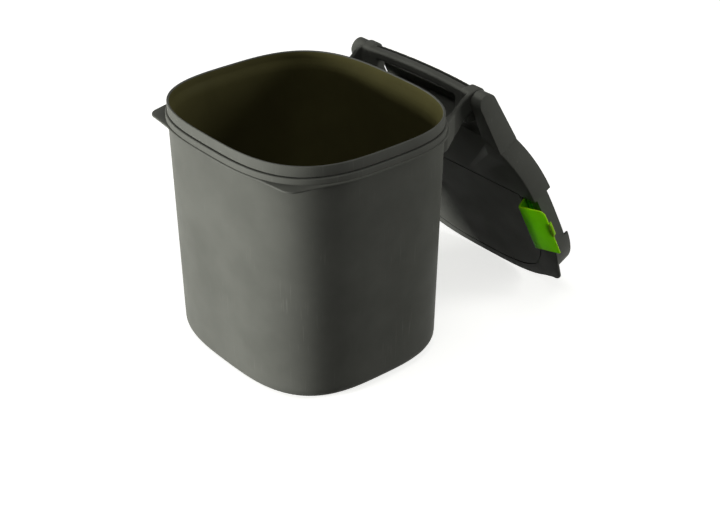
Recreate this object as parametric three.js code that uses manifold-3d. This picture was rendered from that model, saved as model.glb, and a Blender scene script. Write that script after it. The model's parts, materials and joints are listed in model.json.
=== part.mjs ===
// A bokashi bin: a tapered outer bin with a lift-out bucket and strainer, and a hinged, latched lid.
// Millimetres, +Z up. X runs along the lid's hinge, -Y is the front, and the origin is the middle
// of the base on the floor. The lid is built shut and then swung open about its hinge.
import * as THREE from 'three';
import { mergeVertices } from 'three/addons/utils/BufferGeometryUtils.js';
import Module from 'manifold-3d';

const wasm = await Module();
wasm.setup();

// Plan outline: a rounded square with bulging sides, shared by every shell
const rimHalfWidth = 135;
const depthShare = 0.894;
const wallSquareness = 3.1;
const outlineSteps = 64;

// Finger tabs at the two front corners: their round tips, and where they leave the plan outline
const flangeTabFromSide = 27.5;
const flangeTabFromFront = 21.7;
const flangeTabRadius = 15;
const flangeTabSideAngle = 25.6;
const flangeTabFrontAngle = 65.9;
const lidTabFromSide = 21.8;
const lidTabFromFront = 30.3;
const lidTabRadius = 9.5;
const lidTabSideAngle = 24;
const lidTabFrontAngle = 55;
const tabFrontTurn = 94;
const tabSideTurn = 18;
const tabSteps = 5;

// Outer bin
const binWall = 2.4;
const binFloor = 2.6;
const binTaper = 5.2;
const baseRounding = 16.5;
const shoulderSetIn = 0.4;
const shoulderHeight = 253.5;
const flangeThickness = 2;
const flangeReach = 4;
const beadReach = 1.8;
const beadHeight = 6.2;
const beadRounding = 0.8;
const seatWidth = 2.6;

// Lift-out bucket and its strainer
const bucketWall = 2.2;
const rimWall = 2.4;
const rimHeight = 12.1;
const rimGrooveHeight = 1.1;
const rimGrooveDepth = 1.5;
const rimRounding = 0.8;
const bucketSink = 3.6;
const bucketStepHeight = 5;
const bucketGap = 2.1;
const sumpHeight = 30;
const strainerLedge = 11;
const strainerThickness = 2.4;
const strainerLipHeight = 6;
const strainerLipWall = 2;
const strainerGap = 1.2;
const drainHoleRadius = 2.6;
const drainHolePitch = 21;
const drainHoleSides = 8;
const drainMargin = 12;
const liftHoleRadius = 11;

// Hinge, arms and carrying bar
const hingeBehindRim = 40.6;
const hingeDrop = 7.4;
const hingePinRadius = 3;
const hingePinEndWall = 2.8;
const armFromSide = 60;
const armThickness = 14.3;
const armPlateWall = 4.3;
const armRootShare = 0.8;
const armRootDrop = 45.6;
const armShoulderReach = 2.3;
const armKnuckleRadius = 9.3;
const armKnuckleTopAngle = 99;
const armKnuckleEndAngle = -54;
const armNeckBack = 18.6;
const armNeckRise = 5.1;
const armNeckDrop = 19.5;
const armToeReach = 8.3;
const armToeDrop = 37.2;
const armWebFlare = 10.7;
const armWebAheadOfRim = 12.7;
const armWebEndBehindRim = 7;
const postWidth = 22;
const postDrop = 28.7;
const postRounding = 4;
const lidArmEndRadius = 11;
const lidArmEndSetForward = 1.8;
const lidArmThickness = 15.5;
const lidArmFlare = 8.5;
const lidArmBendAheadOfRim = 16.7;
const barDepth = 15.5;
const barHeight = 10.5;
const barRise = 1.6;
const barBow = 5.6;
const barSetForward = 5.3;
const barCorner = 3.6;
const barGrooveWidth = 3;
const barGrooveDepth = 5;
const barGrooveFromRear = 2.2;
const barSteps = 12;

// Lid
const lidWall = 2.4;
const lidReach = 6.8;
const lidTopThickness = 2.5;
const lidHeight = 26;
const lidLift = 3.2;
const lidEdgeRounding = 1.2;
const lidOpenAngle = 243;
const lidLipReach = 2;
const lidLipThickness = 3.2;
const rearLipReach = 11;
const rearLipThickness = 3.2;
const rearLipPlay = 5;
const rearLipTaper = 8;
const panelSideInset = 22;
const panelFrontInset = 9.5;
const panelGrooveWidth = 1.8;
const panelGrooveDepth = 0.9;
const panelRearInset = 87.3;

// Seal and the channel that holds it
const sealWidth = 4.4;
const sealHeight = 4.4;
const sealChamfer = 1.5;
const sealRibWall = 2.2;
const sealRibDrop = 1.6;
const sealLedgeDrop = 1.8;

// Latches
const latchLength = 70;
const latchDrop = 33.2;
const latchWall = 2;
const latchTopWall = 2.2;
const latchCorner = 2;
const latchRearCorner = 6.5;
const latchFrontCorner = 1.5;
const latchOpenAngle = 76;
const latchPivotInset = 17.7;
const latchPivotDrop = 5.9;
const latchBarrelSetIn = 4;
const latchBarrelRadius = 2.6;
const latchPinRadius = 1.3;
const latchHookLength = 20;
const latchHookSetBack = 4;
const latchHookReach = 3.7;
const latchHookThickness = 1.7;
const latchRecessPlay = 2.5;
const latchPocketDepth = 3.5;
const latchPocketWall = 1.9;
const latchPinSink = 2.6;
const latchPlay = 0.45;
const skirtNotchHeight = 6;

// Clearances and drawing steps
const fit = 0.3;
const runningFit = 0.7;
const overrun = 5;
const weld = 1e-4;
const roundSteps = 24;
const cornerSteps = 4;
const fullTurn = 360;

// Places that follow from the sizes above
const rimHalfDepth = rimHalfWidth * depthShare;
const shoulderHalfWidth = rimHalfWidth - shoulderSetIn;
const baseHalfWidth = shoulderHalfWidth - binTaper;
const bucketBaseHalfWidth = binHalfWidthAt(sumpHeight) - binWall - bucketGap;
const flangeTop = shoulderHeight + flangeThickness;
const beadTop = flangeTop + beadHeight;
const bucketSeat = beadTop + fit;
const rimTop = bucketSeat + rimHeight;
const beadHalfWidth = rimHalfWidth + beadReach;
const flangeHalfWidth = rimHalfWidth + flangeReach;
const lidHalfWidth = rimHalfWidth + lidReach;
const lidHalfDepth = lidHalfWidth * depthShare;
const flangeTabX = rimHalfWidth - flangeTabFromSide;
const flangeTabY = rimHalfDepth - flangeTabFromFront;
const lidTabX = lidHalfWidth - lidTabFromSide;
const lidTabY = lidHalfDepth - lidTabFromFront;
const panelRearEdge = lidHalfDepth - panelRearInset;
const lidBottom = flangeTop + lidLift;
const lidTop = lidBottom + lidHeight;
const lidUnderside = lidTop - lidTopThickness;
const rimMiddle = rimHalfWidth - rimWall / 2;
const sealOuter = rimMiddle + sealWidth / 2;
const sealInner = rimMiddle - sealWidth / 2;
const sealBottom = rimTop + fit;
const sealTop = sealBottom + sealHeight;
const sealLand = sealTop + fit;
const hingeY = rimHalfDepth + hingeBehindRim;
const hingeZ = rimTop - hingeDrop;
const armInnerX = rimHalfWidth - armFromSide;
const armOuterX = armInnerX + armThickness;
const armPlateX = armOuterX - armPlateWall;
const barEndX = armInnerX + armThickness / 2;
const barZ = hingeZ + barRise;
const barRearY = hingeY - barSetForward + barDepth / 2;
const postInnerX = armPlateX - postWidth;
const rearLipRootX = armPlateX - rearLipPlay;
const lidArmInnerX = armOuterX + runningFit;
const lidArmOuterX = lidArmInnerX + lidArmThickness;
const latchOuterX = lidHalfWidth + latchPlay + latchWall;
const latchPivotX = latchOuterX - latchPivotInset;
const latchPivotZ = lidTop - latchPivotDrop;
const latchBarrelLength = latchLength - 2 * latchBarrelSetIn;
const latchRecessLength = latchLength + 2 * latchRecessPlay;
const latchPinLength = latchBarrelLength + 2 * latchPinSink;

const plastic = { metalness: 0, roughness: 0.5 };
const charcoal = new THREE.Color(0x5b5d5a);
const limeGreen = new THREE.Color(0x5fae12);
const sealBlack = new THREE.Color(0x1d1e1d);
const pinGrey = new THREE.Color(0x3a3b3a);

const alongX = new THREE.Matrix4().makeBasis(
  new THREE.Vector3(0, 1, 0),
  new THREE.Vector3(0, 0, 1),
  new THREE.Vector3(1, 0, 0),
);
const alongY = new THREE.Matrix4().makeBasis(
  new THREE.Vector3(-1, 0, 0),
  new THREE.Vector3(0, 0, 1),
  new THREE.Vector3(0, 1, 0),
);

// Turns a closed geometry into a solid that can be joined and cut.
function toSolid(geometry) {
  const bare = geometry.clone();
  bare.deleteAttribute('normal');
  bare.deleteAttribute('uv');
  const merged = mergeVertices(bare, weld);
  const corners = merged.index.array;
  const faces = [];
  for (let i = 0; i < corners.length; i += 3) {
    const [a, b, c] = [corners[i], corners[i + 1], corners[i + 2]];
    if (a !== b && b !== c && c !== a) {
      faces.push(a, b, c);
    }
  }
  return new wasm.Manifold(new wasm.Mesh({
    numProp: 3,
    vertProperties: new Float32Array(merged.attributes.position.array),
    triVerts: new Uint32Array(faces),
  }));
}

// Turns a solid into a named mesh with a material of its own.
function toMesh(name, solid, color, finish = plastic) {
  const { vertProperties, triVerts } = solid.getMesh();
  const geometry = new THREE.BufferGeometry();
  geometry.setAttribute('position', new THREE.BufferAttribute(new Float32Array(vertProperties), 3));
  geometry.setIndex(new THREE.BufferAttribute(new Uint32Array(triVerts), 1));
  geometry.computeVertexNormals();
  const mesh = new THREE.Mesh(geometry, new THREE.MeshStandardMaterial({ color, ...finish }));
  mesh.name = name;
  return mesh;
}

// A point of a rounded square whose half-width is radius, at a parameter angle.
function squarePoint(radius, angle, squareness) {
  const power = 2 / squareness;
  const across = Math.cos(angle);
  const along = Math.sin(angle);
  return [
    radius * Math.sign(across) * Math.abs(across) ** power,
    radius * depthShare * Math.sign(along) * Math.abs(along) ** power,
  ];
}

// Turns a profile of [half-width, height] points round the Z axis on the rounded square outline.
function squareLathe(profile) {
  const points = profile.map(([radius, height]) => new THREE.Vector2(radius, height));
  const lathe = new THREE.LatheGeometry(points, outlineSteps);
  lathe.rotateX(Math.PI / 2);
  const place = lathe.attributes.position;
  for (let i = 0; i < place.count; i += 1) {
    const radius = Math.hypot(place.getX(i), place.getY(i));
    const angle = Math.atan2(place.getY(i), place.getX(i));
    const [x, y] = squarePoint(radius, angle, wallSquareness);
    place.setX(i, x);
    place.setY(i, y);
  }
  return toSolid(lathe);
}

// Points of an arc, as [x, y] pairs, from one angle to another.
function arcPoints(centreX, centreY, radius, start, end, steps = cornerSteps) {
  const points = [];
  for (let i = 0; i <= steps; i += 1) {
    const angle = start + ((end - start) * i) / steps;
    points.push([centreX + radius * Math.cos(angle), centreY + radius * Math.sin(angle)]);
  }
  return points;
}

// Extrudes an outline of [x, y] points by depth, centred or from zero, then turns it by a basis.
function prism(outline, depth, basis = null, start = 0) {
  const shape = new THREE.Shape(outline.map(([x, y]) => new THREE.Vector2(x, y)));
  const geometry = new THREE.ExtrudeGeometry(shape, { depth, bevelEnabled: false });
  geometry.translate(0, 0, start);
  if (basis) {
    geometry.applyMatrix4(basis);
  }
  return toSolid(geometry);
}

// The two ends, in rising order, of a stretch along X on the side given by its sign.
function span(side, near, far) {
  return side > 0 ? [near, far] : [-far, -near];
}

// Extrudes a cross section, given as [x, z] points for the right side, along Y.
function sectionAlongY(side, points, start, length) {
  const section = points.map(([x, z]) => [-side * x, z]);
  if (side > 0) {
    section.reverse();
  }
  return prism(section, length, alongY, start);
}

// A box from its lowest corner to its highest.
function block([x0, y0, z0], [x1, y1, z1]) {
  const geometry = new THREE.BoxGeometry(x1 - x0, y1 - y0, z1 - z0);
  geometry.translate((x0 + x1) / 2, (y0 + y1) / 2, (z0 + z1) / 2);
  return toSolid(geometry);
}

// A round bar along X, centred on the hinge line.
function hingeRod(radius, fromX, toX) {
  const geometry = new THREE.CylinderGeometry(radius, radius, toX - fromX, roundSteps);
  geometry.rotateZ(Math.PI / 2);
  geometry.translate((fromX + toX) / 2, hingeY, hingeZ);
  return toSolid(geometry);
}

// A round bar along Y, centred on the latch pivot of the side given by its sign.
function latchRod(side, radius, length) {
  const geometry = new THREE.CylinderGeometry(radius, radius, length, roundSteps);
  geometry.translate(side * latchPivotX, 0, latchPivotZ);
  return toSolid(geometry);
}

// Half-width of the bin's tapered outer face at a height.
function binHalfWidthAt(height) {
  return baseHalfWidth + ((shoulderHalfWidth - baseHalfWidth) * height) / shoulderHeight;
}

// Half-width of the bucket's tapered outer face at a height.
function bucketHalfWidthAt(height) {
  const share = (height - sumpHeight) / (bucketSeat - sumpHeight);
  return bucketBaseHalfWidth + (rimHalfWidth - bucketSink - bucketBaseHalfWidth) * share;
}

// One side of the carrying frame: a plate from the bin's rear corner up to the hinge knuckle, with
// a web beside its foot that widens to meet the wall, and the post under the bar's end.
function carryingArm(side) {
  const rootY = rimHalfDepth * armRootShare;
  const low = hingeZ - armRootDrop;
  const knuckleArc = arcPoints(
    hingeY,
    hingeZ,
    armKnuckleRadius,
    THREE.MathUtils.degToRad(armKnuckleTopAngle),
    THREE.MathUtils.degToRad(armKnuckleEndAngle),
    roundSteps / 2,
  );
  const outline = [
    [rootY, shoulderHeight],
    [rimHalfDepth + armShoulderReach, flangeTop],
    [hingeY - armNeckBack, hingeZ + armNeckRise],
    ...knuckleArc,
    [hingeY - armNeckBack, hingeZ - armNeckDrop],
    [rimHalfDepth + armToeReach, hingeZ - armToeDrop],
    [rootY, low],
  ].reverse();
  const frontY = barFrontAt(barEndX);
  const barTop = barZ + barHeight / 2;
  const knuckle = [
    ...knuckleArc,
    [frontY, barZ - barHeight / 2],
    ...arcPoints(frontY + barCorner, barTop - barCorner, barCorner, Math.PI, Math.PI / 2),
  ].reverse();
  const flareX = armOuterX + armWebFlare;
  const [plateStart] = span(side, armPlateX, armOuterX);
  const [webStart] = span(side, armPlateX, flareX);
  const [knuckleStart] = span(side, armInnerX, armOuterX);
  const webPlan = [
    [armPlateX, rootY],
    [flareX, rootY],
    [flareX, rimHalfDepth - armWebAheadOfRim],
    [armOuterX, rimHalfDepth + armWebEndBehindRim],
    [armPlateX, rimHalfDepth + armWebEndBehindRim],
  ].map(([x, y]) => [side * x, y]);
  if (side < 0) {
    webPlan.reverse();
  }
  const web = prism(outline, flareX - armPlateX, alongX, webStart)
    .intersect(prism(webPlan, flangeTop - low, null, low));
  return prism(outline, armPlateWall, alongX, plateStart)
    .add(web)
    .add(prism(knuckle, armThickness, alongX, knuckleStart))
    .add(carryingPost(side));
}

// The front of the bowed carrying bar at a place along it.
function barFrontAt(x) {
  return barRearY - barDepth + barBow * (1 - (x / barEndX) ** 2);
}

// The post under one end of the bar: flush with its front, and rounded into its underside.
function carryingPost(side) {
  const bottom = hingeZ - postDrop;
  const startX = postInnerX - postRounding;
  const roundingZ = barZ - barHeight / 2 - postRounding;
  const endX = armPlateX + armPlateWall / 2;
  const startY = barFrontAt(barEndX);
  const face = sectionAlongY(side, [
    ...arcPoints(startX, roundingZ, postRounding, Math.PI / 2, 0),
    [postInnerX, bottom],
    [endX, bottom],
    [endX, barZ],
    [startX, barZ],
  ], startY, barRearY - startY);
  const plan = [
    [startX, barFrontAt(startX)],
    [barEndX, startY],
    [endX, startY],
    [endX, barRearY],
    [startX, barRearY],
  ].map(([x, y]) => [side * x, y]);
  if (side < 0) {
    plan.reverse();
  }
  return face.intersect(prism(plan, barZ - bottom, null, bottom));
}

// The bowed carrying bar between the two arms, with a groove along its top.
function carryingBar() {
  const halfDepth = barDepth / 2;
  const halfHeight = barHeight / 2;
  const grooveRear = halfDepth - barGrooveFromRear;
  const grooveFront = grooveRear - barGrooveWidth;
  const section = [
    ...arcPoints(halfHeight - barCorner, -halfDepth + barCorner, barCorner, -Math.PI / 2, 0),
    ...arcPoints(halfHeight - barCorner, halfDepth - barCorner, barCorner, 0, Math.PI / 2),
    [-halfHeight, halfDepth],
    [-halfHeight, grooveRear],
    [barGrooveDepth - halfHeight, grooveRear],
    [barGrooveDepth - halfHeight, grooveFront],
    [-halfHeight, grooveFront],
    ...arcPoints(-halfHeight + barCorner, -halfDepth + barCorner, barCorner, Math.PI, Math.PI * 1.5),
  ];
  const shape = new THREE.Shape(section.map(([x, y]) => new THREE.Vector2(x, y)));
  const endY = barRearY - halfDepth;
  const controlBow = barBow * 2;
  const path = new THREE.QuadraticBezierCurve3(
    new THREE.Vector3(-barEndX, endY, barZ),
    new THREE.Vector3(0, endY + controlBow, barZ),
    new THREE.Vector3(barEndX, endY, barZ),
  );
  return toSolid(new THREE.ExtrudeGeometry(shape, { steps: barSteps, extrudePath: path }));
}

// Points of the plan outline between two parameter angles, given in degrees.
function outlineArc(halfWidth, from, to) {
  const steps = Math.round(((to - from) * outlineSteps) / fullTurn);
  const points = [];
  for (let i = 0; i <= steps; i += 1) {
    const angle = THREE.MathUtils.degToRad(from + ((to - from) * i) / steps);
    points.push(squarePoint(halfWidth, angle, wallSquareness));
  }
  return points;
}

// A plan outline with a round-tipped finger tab at each front corner.
function tabbedOutline(halfWidth, tipX, tipY, tipRadius, sideAngle, frontAngle) {
  const front = THREE.MathUtils.degToRad(tabFrontTurn);
  const side = THREE.MathUtils.degToRad(tabSideTurn);
  return [
    ...outlineArc(halfWidth, -sideAngle, fullTurn / 2 + sideAngle),
    ...arcPoints(-tipX, -tipY, tipRadius, side - Math.PI, front - Math.PI, tabSteps),
    ...outlineArc(halfWidth, fullTurn / 2 + frontAngle, fullTurn - frontAngle),
    ...arcPoints(tipX, -tipY, tipRadius, -front, -side, tabSteps),
  ];
}

// The flange just below the bead, with its finger tabs.
function flangePlate() {
  const outline = tabbedOutline(
    flangeHalfWidth,
    flangeTabX,
    flangeTabY,
    flangeTabRadius,
    flangeTabSideAngle,
    flangeTabFrontAngle,
  );
  return prism(outline, flangeThickness, null, shoulderHeight);
}

// The outer bin: shell, bead, flange, arms and carrying bar in one moulding.
function outerBin() {
  const roundZ = baseRounding;
  const roundX = binHalfWidthAt(roundZ) - baseRounding;
  const outside = [
    [0, 0],
    ...arcPoints(roundX, roundZ, baseRounding, -Math.PI / 2, 0, cornerSteps + 2),
    [shoulderHalfWidth, shoulderHeight],
    [beadHalfWidth, shoulderHeight],
    [beadHalfWidth, beadTop - beadRounding],
    [beadHalfWidth - beadRounding, beadTop],
    [0, beadTop],
  ];
  const innerRounding = baseRounding - binFloor;
  const innerX = binHalfWidthAt(baseRounding) - binWall - innerRounding;
  const inside = [
    [0, binFloor],
    ...arcPoints(innerX, baseRounding, innerRounding, -Math.PI / 2, 0),
    [rimHalfWidth - seatWidth, beadTop],
    [rimHalfWidth - seatWidth, beadTop + overrun],
    [0, beadTop + overrun],
  ];
  const hollow = squareLathe(inside);
  const bore = hingePinRadius + fit;
  let bin = squareLathe(outside).add(flangePlate());
  for (const side of [-1, 1]) {
    bin = bin.add(carryingArm(side));
  }
  bin = bin.add(carryingBar()).subtract(hollow);
  for (const side of [-1, 1]) {
    const [fromX, toX] = span(side, armInnerX + hingePinEndWall, armOuterX + overrun);
    bin = bin.subtract(hingeRod(bore, fromX, toX));
  }
  return toMesh('outer_bin', bin, charcoal);
}

// The lift-out bucket, which hangs by its rim in the outer bin and has an open, ledged floor.
function innerBucket() {
  const seatHalfWidth = bucketHalfWidthAt(bucketSeat);
  const baseX = bucketBaseHalfWidth;
  const ledgeX = baseX - bucketWall - strainerLedge;
  const profile = [
    [ledgeX, sumpHeight],
    [baseX, sumpHeight],
    [seatHalfWidth, bucketSeat],
    [rimHalfWidth - rimGrooveDepth, bucketSeat],
    [rimHalfWidth - rimGrooveDepth, bucketSeat + rimGrooveHeight],
    [rimHalfWidth, bucketSeat + rimGrooveHeight],
    [rimHalfWidth, rimTop - rimRounding],
    [rimHalfWidth - rimRounding, rimTop],
    [rimHalfWidth - rimWall + rimRounding, rimTop],
    [rimHalfWidth - rimWall, rimTop - rimRounding],
    [rimHalfWidth - rimWall, bucketSeat + bucketWall + rimGrooveHeight],
    [seatHalfWidth - bucketWall, bucketSeat - bucketStepHeight],
    [baseX - bucketWall, sumpHeight + bucketWall],
    [ledgeX, sumpHeight + bucketWall],
    [ledgeX, sumpHeight],
  ];
  return toMesh('inner_bucket', squareLathe(profile), charcoal);
}

// The strainer: a perforated plate with a low lip, resting on the bucket's ledge.
function strainerPlate() {
  const bottom = sumpHeight + bucketWall + fit;
  const edge = bucketBaseHalfWidth - bucketWall - strainerGap;
  const outside = [
    [0, bottom],
    [edge, bottom],
    [edge, bottom + strainerLipHeight],
    [edge - strainerLipWall, bottom + strainerLipHeight],
    [edge - strainerLipWall, bottom + strainerThickness],
    [0, bottom + strainerThickness],
  ];
  let plate = squareLathe(outside);
  for (const [x, y] of drainHoles(edge - drainMargin)) {
    plate = plate.subtract(drainHole(x, y, drainHoleRadius, bottom));
  }
  plate = plate.subtract(drainHole(0, 0, liftHoleRadius, bottom));
  return toMesh('strainer_plate', plate, charcoal);
}

// Centres of the drain holes: staggered rows that fit the rounded square outline.
function drainHoles(reach) {
  const centres = [];
  const rows = Math.floor((reach * depthShare) / drainHolePitch);
  for (let row = -rows; row <= rows; row += 1) {
    const shift = row % 2 === 0 ? 0 : drainHolePitch / 2;
    const count = Math.ceil(reach / drainHolePitch);
    for (let column = -count; column <= count; column += 1) {
      const x = column * drainHolePitch + shift;
      const y = row * drainHolePitch;
      const share = Math.abs(x / reach) ** wallSquareness
        + Math.abs(y / (reach * depthShare)) ** wallSquareness;
      if (share <= 1 && Math.hypot(x, y) > liftHoleRadius + drainHoleRadius * 2) {
        centres.push([x, y]);
      }
    }
  }
  return centres;
}

// A round cutter that passes through the strainer's plate.
function drainHole(x, y, radius, bottom) {
  const sides = radius > drainHoleRadius ? roundSteps : drainHoleSides;
  const height = strainerThickness + 2 * overrun;
  const geometry = new THREE.CylinderGeometry(radius, radius, height, sides);
  geometry.rotateX(Math.PI / 2);
  geometry.translate(x, y, bottom + strainerThickness / 2);
  return toSolid(geometry);
}

// One arm of the lid: a side outline and a plan outline, met where both hold.
function lidArm(side) {
  const bendY = rimHalfDepth - lidArmBendAheadOfRim;
  const rootY = bendY - lidArmThickness;
  const endY = hingeY - lidArmEndSetForward;
  const endZ = lidBottom + lidArmEndRadius;
  const sideOutline = [
    [rootY, lidBottom],
    [bendY, lidBottom],
    ...arcPoints(endY, endZ, lidArmEndRadius, -Math.PI / 2, Math.PI / 2, roundSteps / 2),
    [bendY, lidTop],
    [rootY, lidTop],
  ];
  const farY = endY + lidArmEndRadius + overrun;
  const flareX = lidArmOuterX + lidArmFlare;
  const planOutline = [
    [lidArmInnerX, rootY],
    [flareX, rootY],
    [flareX, bendY],
    [lidArmOuterX, hingeY],
    [lidArmOuterX, farY],
    [lidArmInnerX, farY],
  ].map(([x, y]) => [side * x, y]);
  if (side < 0) {
    planOutline.reverse();
  }
  const reach = lidArmThickness + lidArmFlare + overrun;
  const startX = side > 0 ? lidArmInnerX - overrun : -lidArmInnerX - reach;
  const length = reach + overrun;
  const profile = prism(sideOutline, length, alongX, startX);
  const plan = prism(planOutline, lidHeight, null, lidBottom);
  return profile.intersect(plan);
}

// The lip round the lid's top, with its finger tabs, ahead of the rear skirt.
function lidLip() {
  const outline = tabbedOutline(
    lidHalfWidth + lidLipReach,
    lidTabX,
    lidTabY,
    lidTabRadius,
    lidTabSideAngle,
    lidTabFrontAngle,
  ).filter(([, y]) => y <= 0);
  return prism(outline, lidLipThickness, null, lidTop - lidLipThickness);
}

// The lip along the skirt's lower rear edge, between the two arms.
function rearLip() {
  const farY = lidHalfDepth + rearLipReach;
  const farX = rearLipRootX - rearLipTaper;
  const rootY = lidHalfDepth / 2;
  const outline = [
    [-rearLipRootX, rootY],
    [rearLipRootX, rootY],
    [rearLipRootX, rimHalfDepth],
    [farX, farY],
    [-farX, farY],
    [-rearLipRootX, rimHalfDepth],
  ];
  return prism(outline, rearLipThickness, null, lidBottom);
}

// The plan outline of the lid's panel: the front follows the lid, the rear edge is straight.
function panelOutline(inset) {
  const sideShare = 1 - (panelSideInset + inset) / lidHalfWidth;
  const frontShare = 1 - (panelFrontInset + inset) / lidHalfDepth;
  return outlineArc(lidHalfWidth, 0, fullTurn)
    .slice(1)
    .map(([x, y]) => [x * sideShare, Math.min(y * frontShare, panelRearEdge - inset)]);
}

// The shallow groove round the panel on the lid's top.
function panelGroove() {
  const start = lidTop - panelGrooveDepth;
  const depth = panelGrooveDepth + overrun;
  const outer = prism(panelOutline(0), depth, null, start);
  const inner = prism(panelOutline(panelGrooveWidth), depth, null, start);
  return outer.subtract(inner);
}

// The lid's hollow underside, which leaves the ribs that hold the seal.
function lidHollow() {
  const skirtInner = lidHalfWidth - lidWall;
  const ribOuter = sealInner - fit;
  const ribInner = ribOuter - sealRibWall;
  const ribBottom = rimTop - sealRibDrop;
  const ledgeX = sealOuter + fit;
  return squareLathe([
    [0, lidBottom - overrun],
    [skirtInner, lidBottom - overrun],
    [skirtInner, sealLand - sealLedgeDrop - (skirtInner - ledgeX)],
    [ledgeX, sealLand - sealLedgeDrop],
    [ledgeX, sealLand],
    [ribOuter, sealLand],
    [ribOuter, ribBottom],
    [ribInner, ribBottom],
    [ribInner, lidUnderside],
    [0, lidUnderside],
  ]);
}

// The housing under the lid's top for one latch pivot, before its pocket is cut.
function latchHousing(side) {
  const inner = latchPivotX - latchPivotDrop - fit - latchPocketWall;
  const outer = latchPivotX + latchBarrelRadius;
  const half = latchRecessLength / 2 + latchPocketWall;
  const bottom = latchPivotZ - latchBarrelRadius - fit - latchPocketWall;
  const [x0, x1] = span(side, inner, outer);
  return block([x0, -half, bottom], [x1, half, lidUnderside + fit]);
}

// The pocket for one latch: a shallow seat for its top and a deeper one for its barrel.
function latchPocket(side) {
  const inner = latchPivotX - latchPivotDrop - fit;
  const barrelOuter = latchPivotX + latchBarrelRadius + fit;
  const seatHalf = latchRecessLength / 2;
  const barrelHalf = latchBarrelLength / 2 + fit;
  const barrelBottom = latchPivotZ - latchBarrelRadius - fit;
  const high = lidTop + overrun;
  const [s0, s1] = span(side, inner, latchOuterX + overrun);
  const [b0, b1] = span(side, inner, barrelOuter);
  const seat = block([s0, -seatHalf, lidTop - latchPocketDepth], [s1, seatHalf, high]);
  return seat.add(block([b0, -barrelHalf, barrelBottom], [b1, barrelHalf, high]));
}

// The notch in the skirt's lower edge that the latch's plate reaches past.
function skirtNotch(side) {
  const half = latchRecessLength / 2;
  const near = lidHalfWidth - lidWall * 2;
  const far = lidHalfWidth + overrun;
  const [x0, x1] = span(side, near, far);
  return block([x0, -half, lidBottom - overrun], [x1, half, lidBottom + skirtNotchHeight]);
}

// The lid: top, skirt, tabs and arms in one moulding, with its seal channel and latch pockets.
function lidShell() {
  let lid = squareLathe([
    [0, lidBottom],
    [lidHalfWidth, lidBottom],
    [lidHalfWidth, lidTop - lidEdgeRounding],
    [lidHalfWidth - lidEdgeRounding, lidTop],
    [0, lidTop],
  ]).add(lidLip()).add(rearLip());
  for (const side of [-1, 1]) {
    lid = lid.add(lidArm(side));
  }
  lid = lid.subtract(lidHollow()).subtract(panelGroove());
  for (const side of [-1, 1]) {
    const [fromX, toX] = span(side, lidArmInnerX - overrun, lidArmOuterX - hingePinEndWall);
    lid = lid
      .add(latchHousing(side))
      .subtract(latchPocket(side))
      .subtract(skirtNotch(side))
      .subtract(latchRod(side, latchPinRadius + fit, latchPinLength + 2 * fit))
      .subtract(hingeRod(hingePinRadius + fit, fromX, toX));
  }
  return toMesh('lid', lid, charcoal);
}

// The seal: a soft ring in the lid's channel, which presses on the bucket's rim.
function lidSeal() {
  const profile = [
    [sealInner, sealTop],
    [sealInner, sealBottom + sealChamfer],
    [sealInner + sealChamfer, sealBottom],
    [sealOuter - sealChamfer, sealBottom],
    [sealOuter, sealBottom + sealChamfer],
    [sealOuter, sealTop],
    [sealInner, sealTop],
  ];
  return toMesh('lid_seal', squareLathe(profile), sealBlack, { metalness: 0, roughness: 0.8 });
}

// One latch, shut: a barrel on its pin, a top, a plate down the skirt and a hook under the flange.
function latch(side) {
  const half = latchLength / 2;
  const bottom = lidTop - latchDrop;
  const inner = latchOuterX - latchWall;
  const barrelSide = latchPivotX + latchBarrelRadius;
  const plate = sectionAlongY(side, [
    [barrelSide, lidTop - latchTopWall],
    [inner, lidTop - latchTopWall],
    [inner, bottom],
    [latchOuterX, bottom],
    ...arcPoints(latchOuterX - latchCorner, lidTop - latchCorner, latchCorner, 0, Math.PI / 2),
    [barrelSide, lidTop],
  ], -half, latchLength);
  const neck = sectionAlongY(side, [
    [latchPivotX - latchBarrelRadius, latchPivotZ],
    [barrelSide, latchPivotZ],
    [barrelSide, lidTop - latchTopWall],
    [barrelSide + latchCorner, lidTop - latchTopWall],
    [barrelSide + latchCorner, lidTop],
    [latchPivotX, lidTop],
  ], -latchBarrelLength / 2, latchBarrelLength);
  const sideOutline = [
    ...arcPoints(half - latchRearCorner, bottom + latchRearCorner, latchRearCorner, -Math.PI / 2, 0),
    [half, lidTop + overrun],
    [-half, lidTop + overrun],
    ...arcPoints(
      latchFrontCorner - half,
      bottom + latchFrontCorner,
      latchFrontCorner,
      -Math.PI,
      -Math.PI / 2,
    ),
  ];
  const [trimStart, trimEnd] = span(side, barrelSide - overrun, latchOuterX + overrun);
  const [hook0, hook1] = span(side, inner - latchHookReach, inner + latchWall / 2);
  const hookFront = latchHookSetBack - latchHookLength / 2;
  const hookRear = latchHookSetBack + latchHookLength / 2;
  const solid = plate
    .intersect(prism(sideOutline, trimEnd - trimStart, alongX, trimStart))
    .add(neck)
    .add(latchRod(side, latchBarrelRadius, latchBarrelLength))
    .add(block([hook0, hookFront, bottom], [hook1, hookRear, bottom + latchHookThickness]))
    .subtract(latchRod(side, latchPinRadius + fit, latchBarrelLength + overrun));
  const mesh = toMesh(side > 0 ? 'latch_right' : 'latch_left', solid, limeGreen, {
    metalness: 0,
    roughness: 0.35,
  });
  return turnedAbout(mesh, new THREE.Vector3(side * latchPivotX, 0, latchPivotZ), 'y', -side * latchOpenAngle);
}

// The pin of one latch, let into the lid at both ends.
function latchPin(side) {
  const pin = latchRod(side, latchPinRadius, latchPinLength);
  return toMesh(side > 0 ? 'latch_pin_right' : 'latch_pin_left', pin, pinGrey);
}

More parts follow.
